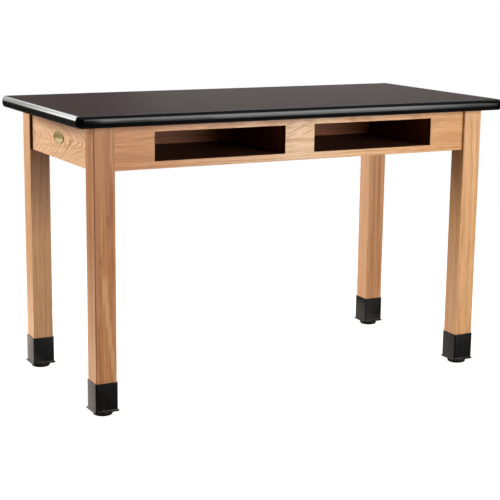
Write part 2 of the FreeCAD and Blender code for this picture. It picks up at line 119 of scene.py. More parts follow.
# Fibres and open pores are really about 0.3 mm across, and are drawn 1.6 and 0.7 mm across so that they show
FIBRES, FIBRE_DETAIL, FIBRE_TONES, FIBRE_SHARE = (1.6, 70), 3.0, ((0.3, "dccfc2"), (0.62, "ffffff")), 0.8
PORES, PORE_DETAIL, PORE_RANGE, PORE_SHARE, PORE_TONE = (0.7, 9), 1.0, (0.6, 0.72), 0.3, "8a5c3a"
PORE_DULLNESS, LACQUER_SPECULAR = 0.25, 0.15
ASH_RELIEF, ASH_RELIEF_STRENGTH = 0.08, 0.35
MARK_CORE = 0.2


def growth_rings(tree, place, ring, cone, wander, bends):
    """How late in its year the wood grew at each point, and the point's millimetres along the grain.

    Growth rings are shells round the pith: the distance from it, plus a little for the tree's taper along
    the grain, is cut into rings, so that a face far from the pith shows straight lines and a face that a
    ring only grazes shows nested arches. Slow noise bends the shells and makes some years wider than others."""
    drift = stretched_noise(tree, place, *bends, 1.0, "Color")
    drift = add_node(tree, "VectorMath", {0: drift, 1: (0.5, 0.5, 0.5)}, operation="SUBTRACT")
    bent = add_node(tree, "VectorMath", {0: drift, 1: (wander, wander, 0), 2: place}, operation="MULTIPLY_ADD")
    flat = add_node(tree, "VectorMath", {0: bent, 1: (1, 1, 0)}, operation="MULTIPLY")
    radius = add_node(tree, "VectorMath", {0: flat}, operation="LENGTH")
    along = add_node(tree, "SeparateXYZ", {0: place}, output=2)
    tapered = add_node(tree, "Math", {0: along, 1: cone, 2: radius}, operation="MULTIPLY_ADD")
    ripple = stretched_noise(tree, place, *RIPPLE)
    tapered = add_node(tree, "Math", {0: ripple, 1: RIPPLE_SHARE * ring, 2: tapered}, operation="MULTIPLY_ADD")
    years = add_node(tree, "Math", {0: tapered, 1: 1 / ring}, operation="MULTIPLY")
    uneven = add_node(tree, "TexNoise", {"W": years, "Scale": UNEVEN_RATE, "Detail": 1.0},
                      noise_dimensions="1D")
    years = add_node(tree, "Math", {0: uneven, 1: UNEVEN_YEARS, 2: years}, operation="MULTIPLY_ADD")
    season = add_node(tree, "Math", {0: years}, operation="FRACT")
    return add_node(tree, "ValToRGB", {0: season}, SEASON_TONES), along


def halves_from(tree, middle, half):
    """The place on the table as seen from a middle, counted in half sizes; both are in millimetres."""
    return add_node(tree, "VectorMath", {
        0: add_node(tree, "TexCoord", output="Object"), 1: [1 / (MM * part) for part in half],
        2: [-at / part for at, part in zip(middle, half)]}, operation="MULTIPLY_ADD")


def marked(tree, colour, marks):
    """A colour with soft oval marks in it, each with a middle, half sizes, a depth from 0 to 1 and a tone."""
    for middle, half, depth, tone in marks:
        away = add_node(tree, "VectorMath", {0: halves_from(tree, middle, half)}, operation="LENGTH")
        near = add_node(tree, "MapRange", {"Value": away, 1: 1.0, 2: MARK_CORE, 3: 0.0, 4: depth},
                        interpolation_type="SMOOTHSTEP")
        colour = add_node(tree, "Mix", {"Factor": near, "A": colour, "B": linear(tone)}, data_type="RGBA")
    return colour


def stained(tree, colour, middle, half, tone):
    """A colour with a sharp-edged box of one tone, used for real stain and for painted shade; inside it, every
    part of the place is under one half size.
    """
    away = add_node(tree, "VectorMath", {0: halves_from(tree, middle, half)}, operation="ABSOLUTE")
    parts = [add_node(tree, "SeparateXYZ", {0: away}, output=axis) for axis in range(3)]
    far = add_node(tree, "Math", {0: parts[0], 1: parts[1]}, operation="MAXIMUM")
    far = add_node(tree, "Math", {0: far, 1: parts[2]}, operation="MAXIMUM")
    inside = add_node(tree, "Math", {0: far, 1: 1.0}, operation="LESS_THAN")
    return add_node(tree, "Mix", {"Factor": inside, "A": colour, "B": linear(tone)}, data_type="RGBA")


def tinted_along(tree, colour, along, shades):
    """A colour multiplied by tones that change along the grain, each given at so many millimetres."""
    low, high = shades[0][0], shades[-1][0]
    where = add_node(tree, "MapRange", {"Value": along, 1: low, 2: high})
    tint = add_node(tree, "ValToRGB", {0: where}, [((at - low) / (high - low), tone) for at, tone in shades])
    return add_node(tree, "Mix", {"Factor": 1.0, "A": colour, "B": tint}, data_type="RGBA",
                    blend_type="MULTIPLY")


def ash(name, grain, pith, cone, ring, lines, lean=(0, 0, 0), wander=12.0, stripe=0.35, bends=(60, 420),
        marks=(), shades=(), stain_and_painted_shade=None, early="deb083", late="b5804e", red="b9774b", roughness=0.42):
    """Planed ash under clear satin lacquer: growth rings, broad reddish streaks, fibres and open pores.

    It is honey-coloured, with darker lines or arches of late wood and a soft, broad shine that the pores break
    up. Lines is the strength of the late wood and stripe that of the streaks."""
    material, tree = new_tree(name)
    place = board_space(tree, grain, pith, lean)
    rings, along = growth_rings(tree, place, ring, cone, wander, bends)
    strength = add_node(tree, "MapRange", {
        "Value": stretched_noise(tree, place, *PATCHES), 1: PATCH_RANGE[0], 2: PATCH_RANGE[1],
        3: PATCH_SHARES[0] * lines, 4: PATCH_SHARES[1] * lines})
    line = add_node(tree, "Math", {0: rings, 1: strength}, operation="MULTIPLY")
    colour = add_node(tree, "Mix", {"Factor": line, "A": linear(early), "B": linear(late)}, data_type="RGBA")
    stripes = add_node(tree, "MapRange", {
        "Value": stretched_noise(tree, place, *STREAKS, STREAK_DETAIL), 1: STREAK_RANGE[0], 2: STREAK_RANGE[1],
        3: 0.0, 4: stripe})
    colour = add_node(tree, "Mix", {"Factor": stripes, "A": colour, "B": linear(red)}, data_type="RGBA")
    if shades:
        colour = tinted_along(tree, colour, along, shades)
    fibres = stretched_noise(tree, place, *FIBRES, FIBRE_DETAIL)
    shade = add_node(tree, "ValToRGB", {0: fibres}, FIBRE_TONES)
    colour = add_node(tree, "Mix", {"Factor": FIBRE_SHARE, "A": colour, "B": shade}, data_type="RGBA",
                      blend_type="MULTIPLY")
    pores = add_node(tree, "MapRange", {
        "Value": stretched_noise(tree, place, *PORES, PORE_DETAIL), 1: PORE_RANGE[0], 2: PORE_RANGE[1]})
    open_pore = add_node(tree, "Math", {0: pores, 1: PORE_SHARE}, operation="MULTIPLY")
    colour = add_node(tree, "Mix", {"Factor": open_pore, "A": colour, "B": linear(PORE_TONE)}, data_type="RGBA")
    colour = marked(tree, colour, marks)
    # A dark box: real stain on the front apron's openings, painted shade beside the back left leg's joint
    if stain_and_painted_shade:
        colour = stained(tree, colour, *stain_and_painted_shade)
    height = add_node(tree, "Math", {0: fibres, 1: pores}, operation="SUBTRACT")
    dull = add_node(tree, "Math", {0: pores, 1: PORE_DULLNESS, 2: roughness}, operation="MULTIPLY_ADD")
    finish_material(tree, {
        "Base Color": colour, "Roughness": dull, "Specular IOR Level": LACQUER_SPECULAR,
        "Normal": add_node(tree, "Bump", {
            "Height": height, "Strength": ASH_RELIEF_STRENGTH, "Distance": ASH_RELIEF * MM})})
    return material


MOTTLE_STEPS, MOTTLE_DETAIL, MOTTLE_RELIEF_STRENGTH = (0.35, 0.65), 3.0, 0.5


def mottled(name, dark, light, across, along, grain, roughness, spread=0.1, relief=0.05, **shader):
    """A finish whose colour and gloss drift between two values in grains of a real size, in slight relief."""
    material, tree = new_tree(name)
    place = board_space(tree, grain)
    tone = stretched_noise(tree, place, across, along, MOTTLE_DETAIL)
    colour = add_node(tree, "ValToRGB", {0: tone}, ((MOTTLE_STEPS[0], dark), (MOTTLE_STEPS[1], light)))
    gloss = add_node(tree, "Math", {0: tone, 1: spread, 2: roughness - spread / 2}, operation="MULTIPLY_ADD")
    inputs = {"Base Color": colour, "Roughness": gloss,
              "Normal": add_node(tree, "Bump", {
                  "Height": tone, "Strength": MOTTLE_RELIEF_STRENGTH, "Distance": relief * MM})}
    inputs.update({socket.replace("_", " "): value for socket, value in shader.items()})
    finish_material(tree, inputs)
    return material


def centre_of(node):
    """The middle of a node's box, in millimetres."""
    low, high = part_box(node)
    return (low + high) / 2 / MM


def slant(start, end, size, end_size, depth, tone, count=5):
    """Marks of the grain that overlap along a slanting line, and grow or shrink on the way."""
    way, growth = np.subtract(end, start), np.subtract(end_size, size)
    return [(np.array(start) + part * way, np.array(size) + part * growth, depth, tone)
            for part in np.linspace(0, 1, count)]


# Finishes of the table's pieces. Marks are places where a board is drawn darker, lighter or redder than its
# grain; the ones noted below are painted shade or painted light

# Each leg is sawn from a different part of the tree, so its pith lies at its own distance from its middle. The
# back left leg's narrow strip beside the left apron is drawn near black: painted shade in the recess there
LEG_CONE, LEG_RING, LEG_LINES = 0.012, 9.0, 0.45
LEGS = {
    "front_left": dict(aside=-150, behind=60, early="d19966", late="a5693c", red="a95f38", stripe=0.5, marks=(
        ((-606, -244, 400), (18, 60, 700), 0.85, "70503c"),
        ((-594, -272.4, 440), (4.5, 4.5, 540), 0.85, "6a3a24"),
        # Painted reflection: the left face is drawn paler near its foot, as the pale floor's sheen on it
        ((-606, -244, 110), (18, 60, 200), 0.6, "dcb498"),
        # Painted shadow: the left face is drawn darker at its top, under the overhang of the top
        ((-606, -244, 720), (18, 60, 220), 0.6, "5e3c26"),
        ((-548, -273, 560), (9, 8, 130), 0.75, "a45c38"),
        ((-546, -273, 400), (6, 8, 110), 0.6, "a45c38"),
        ((-558, -273, 515), (6, 8, 26), 0.55, "8c4e2e"),
        ((-578, -273, 412), (9, 8, 24), 0.4, "a0623c"),
        ((-592, -273, 420), (6, 8, 260), 0.4, "c98f74"),
        *slant((-568, -273, 333), (-542, -273, 90), (10.5, 8, 62), (6.5, 8, 62), 0.75, "e2b07e"))),
    "front_right": dict(aside=-60, behind=140, early="ecba84", late="c48a50", red="cb8c52", stripe=0.3, marks=(
        # Painted shade: the inner left face is drawn darker at its top, where the table shades it
        ((537, -244, 650), (8, 60, 230), 0.5, "8f5d3a"),
        # Painted light: the inner left face is drawn paler near its foot, where light reaches under the table
        ((537, -244, 200), (8, 60, 260), 0.3, "cfa892"))),
    "back_left": dict(aside=60, behind=80, early="dcaf82", late="b57c4a", red="b0764a", stripe=0.4, marks=(
        # Painted shade: the front face is drawn darker and warmer at its top, under the table
        ((-566, 216, 600), (45, 8, 260), 0.28, "80481f"),),
        # Painted shade: the strip beside the left apron is drawn near black, for the shade in that recess
        stain_and_painted_shade=((-590.6, 215.65, 696.0), (4.2, 0.6, 57.0), "442a16")),
    "back_right": dict(aside=-75, behind=-90, early="ecb686", late="bc7e4a", red="c4864f", stripe=0.45, marks=(
        ((574, 216, 470), (9, 8, 300), 0.55, "8f5c38"),
        ((583, 216, 180), (6, 8, 130), 0.5, "8f5c38"),
        ((541, 216, 400), (4.5, 8, 430), 0.5, "f2d09c"),
        ((556, 216, 380), (3.5, 8, 400), 0.25, "a8764c"),
        # Painted light: the whole left face is drawn a little paler, as lit from the left
        ((537.5, 244, 400), (6, 60, 700), 0.15, "f8dcc4"),
        # Painted shade: the front face, shaded under the table, is drawn warmer and more orange
        ((570, 216, 400), (60, 6, 700), 0.3, "b8702a"))),
}
finishes = {}
for corner, grown in LEGS.items():
    middle = centre_of("leg_" + corner)
    pith = (middle.x + grown.pop("aside"), middle.y + grown.pop("behind"), 0)
    finishes["leg_" + corner] = ash("lacquered ash, leg " + corner.replace("_", " "), "Z", pith,
                                    LEG_CONE, LEG_RING, LEG_LINES, **grown)

# The left apron is cut where the rings graze its face, so it shows nested arches. It also has a small knot, and
# shade under the top's overhang
finishes["apron_left"] = ash(
    "lacquered ash, left apron", "Y", (-562, -74, 700), -0.32, 8.5, 0.62, lean=(0.08, 0, 0), wander=36.0,
    bends=(60, 130), stripe=0.25, early="eec49a", late="a86a38", red="bc8154", marks=(
        ((-586, 20, 752), (20, 420, 54), 0.9, "6c3e20"),
        ((-586, 124, 735), (8, 16, 12), 0.7, "a8643c"),
        ((-586, 173, 656), (8, 2.5, 2.5), 0.9, "7a4a2c")))
finishes["apron_right"] = ash(
    "lacquered ash, right apron", "Y", (610, 30, 705), 0.16, 6.0, 0.7, lean=(-0.03, 0, 0), wander=9.0)
# The front apron has nearly straight lines, slanting marks on its stile and dark stain on its openings' edges
finishes["apron_front"] = ash(
    "lacquered ash, front apron", "X", (0, -60, 742), 0.004, 7.0, 0.62, wander=14.0, stripe=0.3,
    early="ffddb8", late="c8935e", red="daac7c",
    shades=((-540, "e0bd9f"), (-440, "e0bf9f"), (-90, "f2e6da"), (0, "ffffff"), (80, "f8eee0"),
            (420, "e9cda6"), (540, "e6c69b")),
    marks=(*slant((-38, -265, 711), (8, -265, 729), (9, 6, 3.0), (9, 6, 3.0), 0.4, "b98455", 12),
           *slant((-38, -265, 703), (-14, -265, 712), (9, 6, 2.6), (9, 6, 2.6), 0.3, "c0905f", 7),
           *slant((10, -265, 708), (36, -265, 719), (9, 6, 3.0), (9, 6, 3.0), 0.4, "b98455", 7),
           ((12, -265, 732), (8, 6, 5), 0.5, "c8a468")),
    stain_and_painted_shade=((0, -250, 696.5), (426, 14.0, 39.0), "4e2c16"))
finishes["apron_back"] = ash(
    "lacquered ash, back apron", "X", (60, 180, 706), 0.03, 8.0, 0.6, wander=16.0)

# Plywood whose face veneer is ash, under red-brown stain: the grain shows faintly through it, and it is matt
for side, centre, early, late, red in (("left", -235, "b0704a", "64361c", "84482a"),
                                       ("right", 235, "af693c", "643014", "844422")):
    finishes[side + "_compartment_back"] = ash(
        "stained plywood back, " + side, "X", (centre - 60, 90, 800), 0.06, 6.0, 0.6, lean=(0, -0.07, 0),
        wander=14.0, bends=(70, 200), stripe=0.3, early=early, late=late, red=red, roughness=0.6)

# Poplar, planed and left raw: pale and even, with faint streaks along its length and almost no shine
poplar = mottled("planed poplar cleats", "c9a878", "e0c79c", 2.0, 90, "Y", 0.6)
# Birch, turned to round pegs: pale and smooth, with short fine streaks
birch = mottled("turned birch dowels", "cfae80", "e6cda4", 1.5, 40, "X", 0.55)
# Plywood under dark stain: red-brown streaks along the veneer, and a matt face
stained_ply = mottled("stained plywood panels", "5c2e1c", "8e4a2c", 2.2, 90, "X", 0.6, Specular_IOR_Level=0.12)
# Hardboard, pressed and tempered with oil: dark brown with fine flecks, a little sleeker than raw wood
hardboard = mottled("tempered hardboard floors", "33190c", "4c2613", 1.2, 3.0, "X", 0.5, 0.15,
                    Specular_IOR_Level=0.15)
# Particle board, pressed and sawn: coarse chips, pale and brown, with a rough dull edge
particle_board = mottled("pressed particle board", "9c7a50", "d6b88a", 2.5, 4.0, "X", 0.8, relief=0.2)
# Phenolic paper, pressed into a sheet: plain dark brown, softly clouded and dull
backing = mottled("phenolic backing sheet", "35271e", "46352a", 3.0, 3.0, "X", 0.6, relief=0.02)
# Laminate, pressed against a matt plate: warm black, with only a wide soft sheen at a low angle
laminate = mottled("matt high-pressure laminate", "2a1b18", "35231e", 1.6, 1.6, "X", 0.56, 0.08, 0.02,
                   Specular_IOR_Level=0.01)
# Vinyl, moulded as a long strip: near black and glossy. The fine lines of the moulding run along it and spread
# light across them, so its highlights are crisp at their ends and soft at their long edges
edge_band = mottled("moulded vinyl edge band", "080708", "0c0b0b", 3.0, 120, "X", 0.096, 0.02, 0.01,
                    Specular_IOR_Level=0.09, Anisotropic=1.0, Anisotropic_Rotation=0.25)
# Vinyl, moulded as a sleeve: black and satin, with upright streaks that break up what it reflects
boot_vinyl = mottled("moulded vinyl boots", "060505", "0e0b09", 3.5, 60, "Z", 0.26, 0.16,
                     Specular_IOR_Level=0.12)
# Nylon, moulded as a disc: black, even and duller than the boots
pad_nylon = mottled("moulded nylon glides", "0b0b0b", "121111", 2.0, 2.0, "Z", 0.4, relief=0.02,
                    Specular_IOR_Level=0.12)
# Steel, turned or rolled and then zinc plated: light grey metal with a slightly clouded gloss
zinc_steel = mottled("zinc-plated steel", "a3a6aa", "c9ccd0", 1.5, 12, "Z", 0.36, 0.15, 0.01, Metallic=1.0)
# Sheet steel, bent and then zinc plated: a slightly darker grey in broader clouds
bracket_steel = mottled("zinc-plated bent sheet", "9a9ea3", "c4c7cb", 5.0, 5.0, "Z", 0.4, 0.2, 0.01,
                        Metallic=1.0)
# Zinc, cast: a darker grey with a fine dull skin
cast_zinc = mottled("cast zinc inserts", "8d8f92", "adb0b2", 1.2, 1.2, "Z", 0.5, relief=0.03, Metallic=1.0)
# Brass, struck and aged: dull gold that clouds to brown, over a stippled field
aged_brass = mottled("struck brass plate, aged", "6c5d2f", "b49a58", 2.6, 2.6, "Z", 0.55, 0.2, 0.4,
                     Metallic=0.6)

# The first pattern that a node's name fits gives its finish, unless it has its own from above
SHARED = (
    ("*_screws", zinc_steel), ("hanger_bolts", zinc_steel), ("bolt_*", zinc_steel),
    ("leveler_stud_*", zinc_steel), ("leveler_inserts", cast_zinc), ("corner_bracket_*", bracket_steel),
    ("cleat_*", poplar), ("compartment_cleat_*", poplar), ("compartment_ledger", poplar),
    ("apron_dowels", birch), ("*_compartment_floor", hardboard), ("*_side", stained_ply),
    ("top_core", particle_board), ("top_backer", backing), ("top_laminate", laminate),
    ("top_edge_band", edge_band), ("boot_*", boot_vinyl), ("glide_pad_*", pad_nylon),
    ("badge_plate", aged_brass),
)
for node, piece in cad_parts.items():
    if node not in finishes:
        finishes[node] = next(finish for pattern, finish in SHARED if fnmatch(node, pattern))
    piece.data.materials.clear()
    piece.data.materials.append(finishes[node])


# New pieces, each worked out as grids of points in millimetres

LATHE_COLUMNS = 48
ANGLES = np.linspace(0, 2 * math.pi, LATHE_COLUMNS, endpoint=False)
QUARTER_STEPS = 6
# Points that agree to so many decimals of a millimetre are one point
MERGE_DECIMALS = 3


def add_piece(name, sheets, body, *nodes, crease=32.0):
    """Joins closed sheets of points into one mesh that rides a body and stands for CAD nodes.

    A sheet is rows by columns of points whose columns close into rings. Points that coincide become one,
    so that seams and poles close, and a four-sided face that has lost a side becomes a triangle."""
    points, faces, count = [], [], 0
    for sheet in sheets:
        index = count + np.arange(sheet.shape[0] * sheet.shape[1]).reshape(sheet.shape[:2])
        ahead = np.roll(index, -1, axis=1)
        faces.append(np.stack([index[:-1], ahead[:-1], ahead[1:], index[1:]], axis=-1).reshape(-1, 4))
        points.append(sheet.reshape(-1, 3))
        count += index.size
    points = np.concatenate(points)
    rounded = np.round(points, MERGE_DECIMALS)
    _, first, merged = np.unique(rounded, axis=0, return_index=True, return_inverse=True)
    faces = merged.reshape(-1)[np.concatenate(faces)]
    same = faces == np.roll(faces, -1, axis=1)
    lost = same.sum(axis=1)
    after = np.argmax(same[lost == 1], axis=1)[:, None] + np.arange(1, 4)
    triangles = np.take_along_axis(faces[lost == 1], after % 4, axis=1)
    mesh = bpy.data.meshes.new(name)
    mesh.from_pydata((points[first] * MM).tolist(), [], faces[lost == 0].tolist() + triangles.tolist())
    mesh.shade_smooth()
    mesh.set_sharp_from_angle(angle=math.radians(crease))
    mesh.materials.append(finishes[nodes[0]])
    piece = bpy.data.objects.new(name, mesh)
    bpy.context.scene.collection.objects.link(piece)
    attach(piece, body)
    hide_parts(*nodes)


def arc(centre, radii, start, end, steps=QUARTER_STEPS):
    """Points of an arc or, with two radii, of an ellipse about a centre, between two angles in degrees."""
    angles = np.radians(np.linspace(start, end, steps + 1))
    return np.array(centre) + np.broadcast_to(radii, 2) * np.stack([np.cos(angles), np.sin(angles)], axis=-1)


def carry_round(core, profile, spread=None, middle=(0.0, 0.0), corner_steps=10, support=0.0):
    """A profile of (reach, height) points carried round a rectangle with the core's half sizes.

    Each point lies its reach outside the rectangle, so corners are arcs of that radius. A spread below one
    shrinks the rectangle at a point of the profile, down to zero, where the ring is a circle. Each corner has
    one more point on either side, a support's length along the straight, so that the straight shades flat."""
    profile = np.asarray(profile, float)
    spread = np.ones(len(profile)) if spread is None else np.asarray(spread, float)
    turns = np.concatenate([[0], np.linspace(0, math.pi / 2, corner_steps + 1), [math.pi / 2]])
    angles = (turns + np.arange(4)[:, None] * math.pi / 2).ravel()
    signs = np.repeat(np.array([[1, 1], [-1, 1], [-1, -1], [1, -1]]), len(turns), axis=0)
    outwards = np.stack([np.cos(angles), np.sin(angles)], axis=-1)
    slide = np.tile(np.array([-support] + [0] * (corner_steps + 1) + [support]), 4)[:, None]
    onwards = slide * np.stack([-np.sin(angles), np.cos(angles)], axis=-1)
    flat = spread[:, None, None] * (signs * np.array(core) + onwards) + profile[:, :1, None] * outwards
    flat = flat + np.array(middle)
    heights = np.broadcast_to(profile[:, 1, None, None], flat.shape[:2] + (1,))
    return np.concatenate([flat, heights], axis=-1)


def turned(rows, middle=(0.0, 0.0)):
    """A turned shape about an upright axis: each row is a radius and a height, for all angles or for each."""
    radii, heights = (np.stack([np.broadcast_to(row[part], LATHE_COLUMNS) for row in rows]) for part in (0, 1))
    return np.stack([middle[0] + radii * np.cos(ANGLES), middle[1] + radii * np.sin(ANGLES), heights + 0.0],
                    axis=-1)


# The cone that cuts a hexagon's corners: its reach at an end face and its depth, as shares of the half width,
# how far it widens for each millimetre, and its rows
CONE_START, CONE_DEPTH, CONE_SLOPE, CONE_STEPS = 0.97, 0.1, 1.73, 6


def hexagon_rows(across, low, high):
    """Rows of a hexagon with its corners cut by a cone at each end.

    A flat's distance from the axis is half the width over the cosine of the angle from the flat's middle; the
    cone lets the corners reach out its slope for each millimetre of height."""
    half = across / 2
    flats = half / np.cos(ANGLES % (math.pi / 3) - math.pi / 6)
    inset = np.linspace(0, CONE_DEPTH, CONE_STEPS) * half
    cut = [np.minimum(flats, CONE_START * half + CONE_SLOPE * step) for step in inset]
    rows = [(radius, low + step) for radius, step in zip(cut, inset)]
    rows += [(radius, high - step) for radius, step in zip(cut[::-1], inset[::-1])]
    return rows


# A thread's triangle wave is made steeper and cut off, which leaves narrow flats on its crests and roots
WAVE_GAIN, WAVE_DROP = 1.25, 0.12


def thread_rows(radius, pitch, depth, low, high, steps=6):
    """Rows of a right-hand thread: the radius less the depth times a triangle wave of height over pitch."""
    rows = []
    for height in np.arange(low, high, pitch / steps):
        phase = (height / pitch - ANGLES / (2 * math.pi)) % 1.0
        wave = np.clip(WAVE_GAIN * np.abs(2 * phase - 1) - WAVE_DROP, 0, 1)
        rows.append((radius - depth * wave, height))
    return rows


def placed(sheet, start, axis):
    """A sheet turned so that its upright axis points another way, and moved to a start."""
    turn = np.array(Vector((0, 0, 1)).rotation_difference(Vector(axis)).to_matrix())
    return sheet @ turn.T + np.array(start)


def loose_solids(node):
    """The corner points of each separate solid of a CAD node: corners that share a triangle share a number."""
    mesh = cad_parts[node].data
    points = np.empty(3 * len(mesh.vertices))
    mesh.vertices.foreach_get("co", points)
    corners = np.empty(len(mesh.loops), int)
    mesh.loops.foreach_get("vertex_index", corners)
    points = np.round(points.reshape(-1, 3) / MM, MERGE_DECIMALS)
    unique, same = np.unique(points, axis=0, return_inverse=True)
    faces = same.reshape(-1)[corners].reshape(-1, 3)
    number, former = np.arange(len(unique)), None
    while former is None or (number != former).any():
        former = number.copy()
        np.minimum.at(number, faces, number[faces].min(axis=1)[:, None])
    return [unique[number == one] for one in np.unique(number)]


# Edge band: one moulding carried round the board, with its tongue in the board's groove
BAND_BOX = [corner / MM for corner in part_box("top_edge_band")]
BAND_LOW, BAND_HIGH = BAND_BOX[0].z, BAND_BOX[1].z
BAND_WIDTH, SHOULDER, LOWER_WIDTH, LOWER_HEIGHT = 8.0, 13.0, 7.0, 12.0
BAND_INNER_RADIUS = 8.0
TONGUE_REACH, TONGUE_LOW, TONGUE_HIGH = 10.0, 13.8, 16.2
LOWER_STEPS, SHOULDER_STEPS, BAND_CORNER_STEPS, BAND_SUPPORT = 12, 16, 16, 3.0
thick = BAND_HIGH - BAND_LOW
band_profile = np.concatenate([
    [(0, 0)],
    arc((BAND_WIDTH - LOWER_WIDTH, LOWER_HEIGHT), (LOWER_WIDTH, LOWER_HEIGHT), -90, 0, LOWER_STEPS),
    arc((0, thick - SHOULDER), (BAND_WIDTH, SHOULDER), 0, 90, SHOULDER_STEPS),
    [(0, TONGUE_HIGH), (-TONGUE_REACH, TONGUE_HIGH), (-TONGUE_REACH, TONGUE_LOW), (0, TONGUE_LOW), (0, 0)],
])
board_core = BAND_BOX[1].xy - Vector((BAND_WIDTH + BAND_INNER_RADIUS,) * 2)
band = carry_round(board_core, band_profile + (BAND_INNER_RADIUS, BAND_LOW), corner_steps=BAND_CORNER_STEPS,
                   support=BAND_SUPPORT)
add_piece("edge_band", [band], "table_frame", "top_edge_band")

# Boots: a sleeve on each leg's end, with a flared lip at the foot and a plate that the stud passes through
LEG_HALF, LEG_EASING = 28.575, 1.5
WALL, LIP, LIP_THICKNESS, LIP_FILLET, LIP_ROUND = 2.5, 4.4, 1.5, 3.8, 0.6
BOOT_LOW, BOOT_HIGH, PLATE_LOW, PLATE_HIGH = 13.0, 90.5, 19.0, 22.0
MOUTH_ROUND, MOUTH_BEVEL, SOLE_BEVEL = 0.9, (0.5, 1.2), 0.4
STUD_HOLE = 6.26
LIP_STEPS, FILLET_STEPS, MOUTH_STEPS = 3, 8, 4
wall_out = LEG_EASING + WALL
lip_out = wall_out + LIP
boot_outside = np.concatenate([
    arc((lip_out - LIP_ROUND, BOOT_LOW + LIP_ROUND), LIP_ROUND, -90, 0, LIP_STEPS),
    arc((lip_out - LIP_ROUND, BOOT_LOW + LIP_THICKNESS - LIP_ROUND), LIP_ROUND, 0, 90, LIP_STEPS),
    arc((wall_out + LIP_FILLET, BOOT_LOW + LIP_THICKNESS + LIP_FILLET), LIP_FILLET, 270, 180, FILLET_STEPS),
    arc((wall_out - MOUTH_ROUND, BOOT_HIGH - MOUTH_ROUND), MOUTH_ROUND, 0, 90, MOUTH_STEPS),
    [(LEG_EASING + MOUTH_BEVEL[0], BOOT_HIGH), (LEG_EASING, BOOT_HIGH - MOUTH_BEVEL[1]),
     (LEG_EASING, PLATE_HIGH)],
])
boot_plate = [(STUD_HOLE, PLATE_HIGH), (STUD_HOLE, PLATE_LOW)]
boot_inside = [(LEG_EASING, PLATE_LOW), (LEG_EASING, BOOT_LOW + SOLE_BEVEL),
               (LEG_EASING + SOLE_BEVEL, BOOT_LOW), (lip_out - LIP_ROUND, BOOT_LOW)]
boot_profile = np.concatenate([boot_outside, boot_plate, boot_inside])
boot_spread = np.ones(len(boot_profile))
boot_spread[len(boot_outside):len(boot_outside) + len(boot_plate)] = 0

# Glides: a round pad with a socket that holds the stud's collar
PAD_RADIUS, PAD_HEIGHT, PAD_LOWER_ROUND, PAD_UPPER_ROUND = 26.25, 12.0, 4, 1.5
SOCKET, SOCKET_LOW, SOCKET_HIGH, THROAT = 10.08, 4.0, 7.16, 4.84
pad_rows = [(0, 0), *arc((PAD_RADIUS - PAD_LOWER_ROUND, PAD_LOWER_ROUND), PAD_LOWER_ROUND, -90, 0),
            *arc((PAD_RADIUS - PAD_UPPER_ROUND, PAD_HEIGHT - PAD_UPPER_ROUND), PAD_UPPER_ROUND, 0, 90),
            (THROAT, PAD_HEIGHT), (THROAT, SOCKET_HIGH), (SOCKET, SOCKET_HIGH), (SOCKET, SOCKET_LOW),
            (0, SOCKET_LOW)]

# Studs: a collar in the pad, a hexagon for the wrench, and a 3/8-16 thread
STUD_RADIUS, STUD_PITCH, STUD_DEPTH, STUD_TOP = 4.7625, 1.5875, 0.95, 68.05
STUD_RUN_OUT, STUD_END, STUD_END_TAPER = 0.8, 1.0, 0.6
COLLAR_RADIUS, COLLAR_LOW, COLLAR_HIGH, COLLAR_BEVEL = 10.0, 4.08, 7.08, 0.3
WRENCH_ACROSS, WRENCH_LOW, WRENCH_HIGH = 14.3, 12.4, 17.4
NECK = STUD_RADIUS - STUD_DEPTH
stud_thread = thread_rows(STUD_RADIUS, STUD_PITCH, STUD_DEPTH, WRENCH_HIGH + STUD_RUN_OUT, STUD_TOP - STUD_END)
stud_rows = [(0, COLLAR_LOW), (COLLAR_RADIUS - COLLAR_BEVEL, COLLAR_LOW),
             (COLLAR_RADIUS, COLLAR_LOW + COLLAR_BEVEL), (COLLAR_RADIUS, COLLAR_HIGH - COLLAR_BEVEL),
             (COLLAR_RADIUS - COLLAR_BEVEL, COLLAR_HIGH),
             (STUD_RADIUS, COLLAR_HIGH), (STUD_RADIUS, WRENCH_LOW),
             *hexagon_rows(WRENCH_ACROSS, WRENCH_LOW, WRENCH_HIGH), (NECK, WRENCH_HIGH), *stud_thread,
             (NECK, STUD_TOP - STUD_END), (NECK - STUD_END_TAPER, STUD_TOP), (0, STUD_TOP)]

for corner in LEGS:
    middle = centre_of("glide_pad_" + corner).xy
    sleeve = carry_round((LEG_HALF - LEG_EASING,) * 2, boot_profile, boot_spread, middle)
    add_piece("moulded_boot_" + corner, [sleeve], "table_frame", "boot_" + corner)
    add_piece("glide_" + corner + "_disc", [turned(pad_rows, middle)], "glide_" + corner, "glide_pad_" + corner)
    add_piece("threaded_stud_" + corner, [turned(stud_rows, middle)], "stud_" + corner,
              "leveler_stud_" + corner)

# Hanger bolts: wood thread in the leg, a plain waist, and machine thread towards the bracket; and hexagon nuts
BOLT_RADIUS, BOLT_IN_LEG, BOLT_WAIST = 4.0, 50.0, 4
WOOD_PITCH, WOOD_DEPTH, WOOD_STEPS, WOOD_START, WOOD_POINT = 3.0, 1.1, 8, 3.0, (1.2, 2.5)
MACHINE_PITCH, MACHINE_DEPTH, MACHINE_RUN_OUT, BOLT_END = 1.25, 0.75, 0.4, 0.8
NUT_ACROSS, NUT_THICKNESS, NUT_PLAY, NUT_BEVEL = 12.7, 6.5, 0.05, 0.5


def towards_middle(place):
    """The level direction from a corner joint to the inside of the table, at 45 degrees to its sides."""
    return np.array([-np.sign(place[0]), -np.sign(place[1]), 0]) / math.sqrt(2)


